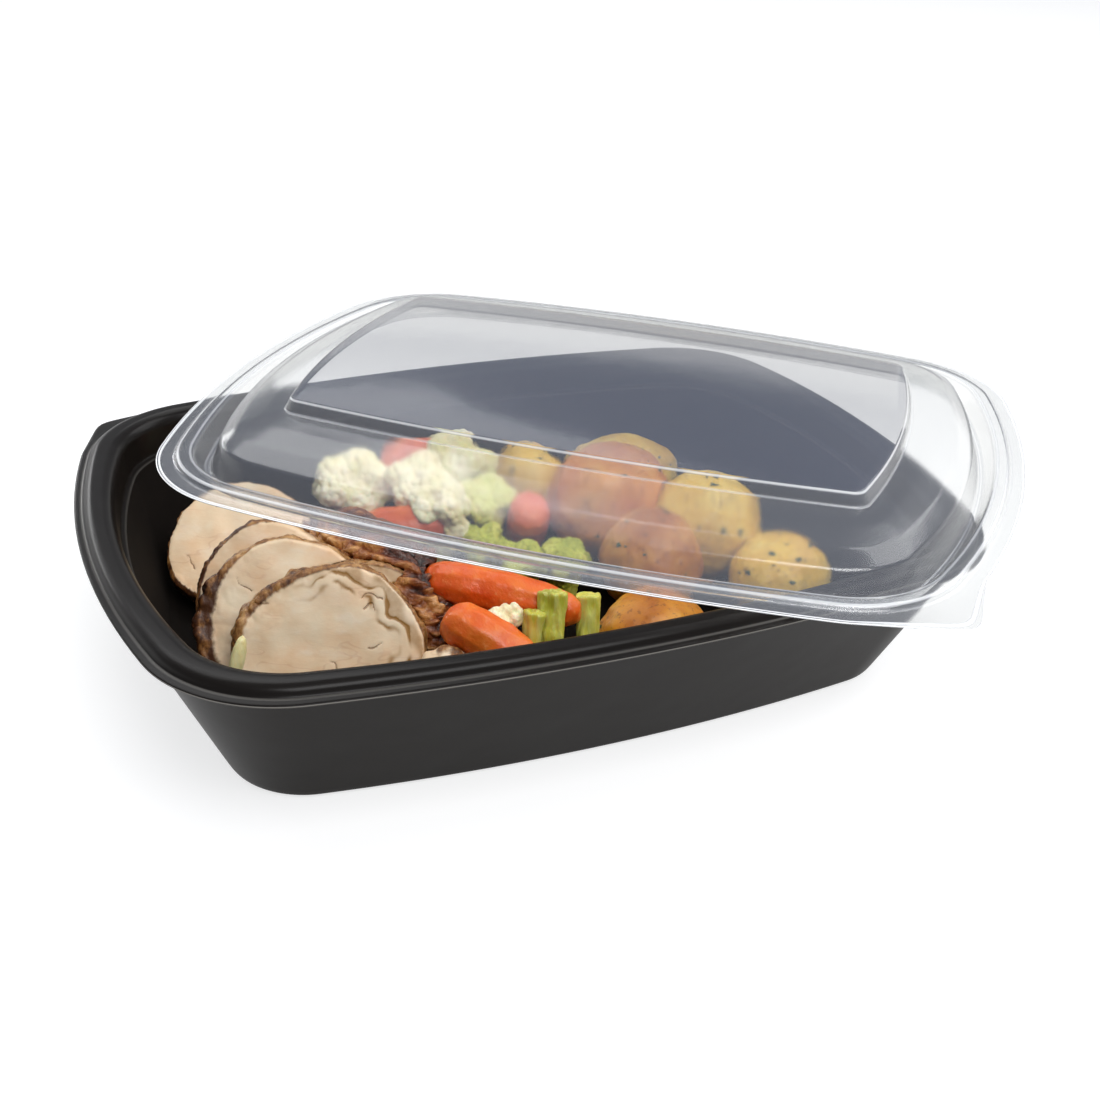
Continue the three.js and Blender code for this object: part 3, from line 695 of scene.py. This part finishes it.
# --- The potatoes ---
# Small boiled potatoes, some peeled and yellow, one in its reddish skin and two roasted golden,
# tossed with chopped herbs that stick to them as dark green flakes.
POTATO_TONES = {
    "potato": ("CE9C28", "DFB43E", "EACB68", "7C561A"),
    "red_potato": ("BE6E30", "D68E42", "E2A85A", "84401C"),
    "gold_potato": ("9A5206", "BA740E", "D49828", "5E300A"),
}
POTATOES = {
    "potato_1": "potato", "potato_2": "potato", "potato_3": "red_potato", "potato_4": "potato",
    "potato_5": "potato", "potato_6": "gold_potato", "potato_7": "gold_potato",
}
HERB_COUNTS = {"potato": 26, "red_potato": 18, "gold_potato": 18}
HERB_SIZE, HERB_CORNERS = 2.2, 7
potato_finishes = {}
for slot, (low, mid, high, brown) in POTATO_TONES.items():
    flesh = Finish(slot + "_flesh", Roughness=0.42, Subsurface_Weight=0.12, Subsurface_Scale=0.004)
    waxy = flesh.noise(0.014, 4)
    specks = flesh.noise(0.0016, 3, roughness=0.7)
    spots = flesh.step(flesh.noise(0.007, 4), 0.6, 0.72)
    toasted = spots * 0.4 + flesh.step(specks, 0.56, 0.66) * 0.5
    tones = flesh.ramp(waxy, (0.3, colour(low)), (0.5, colour(mid)), (0.7, colour(high)))
    flesh.vary(
        Base_Color=flesh.mixed(toasted, tones, colour(brown)),
        Roughness=0.34 + 0.2 * specks,
    )
    flesh.bump(specks * 0.4 + waxy, 0.0005)
    potato_finishes[slot] = flesh

herb_spots = []
for order, (node, slot) in enumerate(POTATOES.items()):
    piece = fine_copy(node, 0.75, 8)
    points = points_of(piece)[0]
    raised(piece, 0.3 * ripples(points, 11, order) + 0.07 * ripples(points, 3, order + 9))
    settled(piece, potato_finishes[slot], node)
    points, normals = points_of(piece)
    draw = np.random.default_rng(order + 5)
    shown = np.flatnonzero(normals[:, 2] > -0.1)
    for pick in draw.choice(shown, HERB_COUNTS[slot], replace=False):
        size, turn = draw.uniform(0.5, 1) ** 2 * HERB_SIZE, draw.uniform(0, 6.28)
        herb_spots.append((points[pick], normals[pick], size, turn))

herb = Finish("herb_leaf", Roughness=0.5)
herb.vary(Base_Color=herb.mixed(herb.noise(0.001, 2), colour("2A3614"), colour("4C5A22")))
herb.bump(herb.noise(0.0005, 2), 0.0002)
flakes = bmesh.new()
for place, normal, size, turn in herb_spots:
    upright = Vector(normal).to_track_quat("Z", "Y").to_matrix()
    corners = []
    for step in range(HERB_CORNERS):
        angle = turn + step * 2 * math.pi / HERB_CORNERS
        reach = size * (0.65 + 0.35 * math.sin(3.1 * step + turn))
        flat = upright @ Vector((math.cos(angle) * reach, math.sin(angle) * reach * 0.6, 0))
        corners.append(flakes.verts.new((Vector(place) + flat + Vector(normal) * 0.12) / 1000))
    crown = flakes.verts.new((Vector(place) + Vector(normal) * 0.38) / 1000)
    under = flakes.verts.new((Vector(place) - Vector(normal) * 0.3) / 1000)
    for first, second in zip(corners, corners[1:] + corners[:1]):
        flakes.faces.new((first, second, crown))
        flakes.faces.new((second, first, under))
herb_mesh = bpy.data.meshes.new("herb_flakes")
flakes.to_mesh(herb_mesh)
flakes.free()
herb_mesh.materials.append(herb.material)
herb_flakes = bpy.data.objects.new("herb_flakes", herb_mesh)
bpy.context.collection.objects.link(herb_flakes)
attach(herb_flakes, "root")

# --- The lid ---
# A thin clear formed sheet that lies turned on the rim: a flat flange with a pull tab, a ridge, a
# groove that would drop inside the rim, a domed wall and a raised flat panel with crisp edges.
LID_EDGE = {"length": 116, "width": 92, "bow_long": 10.5, "bow_short": 18.5, "corner": 36}
LID_PANEL = {"length": 82.2, "width": 50, "bow_long": 4.8, "bow_short": 6.3, "corner": 3.5}
LID_SHEET, LID_PLUG, LID_RIDGE = 0.5, 3.5, 2.2
LID_SHOULDER, LID_PANEL_HEIGHT = 9.4, 13.3
LID_TAB = {"signs": (1, -1), "reach": 10, "share": 1 / 3}
LID_GAP, FOLD_ROUND = 0.3, 0.8
LID_PLACE = Vector((33.6, 17.8, RIM_TOP + LID_GAP + LID_PLUG)) / 1000
LID_TURN = math.radians(-40.1)


def flange(inset, height, fold=0):
    tab = {**LID_TAB, "reach": LID_TAB["reach"] * max(0, 1 - inset / 3.6)}
    return ring(shrunk(LID_EDGE, inset), height, tab, fold, 0.7)


dome_foot = shrunk(LID_EDGE, 12.3)
panel_foot = shrunk(LID_PANEL, -1.4)


def dome(share, height, inset=0, fold=0):
    return ring(shrunk(between(dome_foot, panel_foot, share), inset), height, None, fold, 0.45)


# The film lets most light through, plainly in the flat panel and a little blurred where it was drawn
# down thin. A faint milky layer, partly the film's haze and partly painted reflection, strongest on the
# flange, and the gleam of its two faces make it visible; painted highlights whiten it along the folds.
clear = Finish("lid_film", Roughness=0.4)
haze_and_painted_reflection = clear.painted("sheen")
fold = clear.painted("fold")
away = clear.node("LayerWeight", None, {"Blend": 0.5}, "Facing")
waves = clear.noise(0.03, 2)
# The milky layer's colour: bluish grey where it is painted reflection and haze, white on the painted
# fold highlights.
clear.vary(Base_Color=clear.ramp(
    haze_and_painted_reflection * 0.8 + fold * 0.5,
    (0.0, colour("6C7284")), (0.36, colour("A0A4B0")), (0.6, colour("A4A7AF")), (1.0, colour("FFFFFF")),
))
clear.bump(waves, 0.0003)


def layered(share, first, second):
    """Two shaders of the film as one, with the second one's share of it."""
    return clear.node("MixShader", None, {0: share, 1: first, 2: second})


plain_film = clear.node("BsdfTransparent", None, {"Color": (0.985, 0.98, 0.96, 1)})
drawing = {"Color": (1, 1, 0.985, 1), "Roughness": 0.24, "IOR": 1.055}
drawn_film = clear.node("BsdfRefraction", None, drawing)
see_through = layered(clear.step(haze_and_painted_reflection, 0.1, 0.4), plain_film, drawn_film)
gleam = clear.node("BsdfGlossy", None, {
    "Roughness": 0.18,
    "Normal": clear.node("Bump", None, {"Distance": 0.0003, "Height": waves}),
})
# How much the milky layer covers: painted reflection and haze set by region, and painted highlight
# along the folds.
haze_and_painted_light_share = 0.26 - 0.13 * clear.step(haze_and_painted_reflection, 0, 0.4) + 0.02 * clear.step(haze_and_painted_reflection, 0.5, 0.7) + 0.75 * fold
haze_and_painted_light_share = haze_and_painted_light_share + 0.25 * clear.step(haze_and_painted_reflection, 0.75, 0.9)
hazed_and_painted_light = layered(haze_and_painted_light_share, see_through, Field(clear, clear.shader.outputs[0]))
film = layered(0.035 + 0.965 * away ** 5, hazed_and_painted_light, gleam)
clear.links.new(film.socket, clear.nodes["Material Output"].inputs["Surface"])

# The fold values on these rings are painted highlight lines along the panel's edge, the ridge, the
# groove and the flange's outer edge; their sheen sets the milky layer.
lid = skin("lid_film", softened([
    ring(shrunk(LID_PANEL, 0.6), LID_PANEL_HEIGHT),
    ring(LID_PANEL, LID_PANEL_HEIGHT - 0.3, fold=0.8, sheen=0.78),
    ring(panel_foot, LID_SHOULDER, fold=0.35, sheen=0.78),
    dome(0.94, LID_SHOULDER - 0.1),
    dome(0.7, LID_SHOULDER - 0.7),
    dome(0.35, LID_SHOULDER - 2.2),
    dome(0.13, LID_SHOULDER - 4.6),
    dome(0, -LID_PLUG + LID_SHEET + 0.5),
    flange(11.8, -LID_PLUG + LID_SHEET, 0.3),
    flange(10.9, -LID_PLUG + LID_SHEET, 0.3),
    flange(8.7, LID_RIDGE - 0.4, 0.2),
    flange(8, LID_RIDGE, 0.5),
    flange(4.9, LID_RIDGE, 0.7),
    flange(4.1, LID_SHEET + 0.2, 0.2),
    flange(1.4, LID_SHEET),
    flange(0.8, LID_SHEET, 1),
    flange(0, LID_SHEET - 0.1, 1),
    flange(0, 0.1, 1),
    flange(0.8, 0, 1),
    flange(1.4, 0),
    flange(4.6, 0.2),
    flange(5.3, LID_RIDGE - LID_SHEET),
    flange(7.6, LID_RIDGE - LID_SHEET),
    flange(8.2, LID_RIDGE - LID_SHEET - 0.4),
    flange(10.5, -LID_PLUG),
    flange(12.2, -LID_PLUG),
    dome(0, -LID_PLUG + 0.6, LID_SHEET),
    dome(0.13, LID_SHOULDER - 5, LID_SHEET),
    dome(0.36, LID_SHOULDER - 2.2 - LID_SHEET),
    dome(0.7, LID_SHOULDER - 0.7 - LID_SHEET),
    ring(shrunk(panel_foot, LID_SHEET), LID_SHOULDER - LID_SHEET, sheen=0.45),
    ring(shrunk(LID_PANEL, LID_SHEET), LID_PANEL_HEIGHT - LID_SHEET),
], FOLD_ROUND), clear)
# The light on the food passes through the film, so the film neither shades it nor adds to it.
lid.visible_shadow = False
lid.visible_diffuse = False
lid.data.transform(Matrix.Translation(LID_PLACE) @ Matrix.Rotation(LID_TURN, 4, "Z"))
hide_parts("lid")
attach(lid, "root")

low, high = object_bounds()
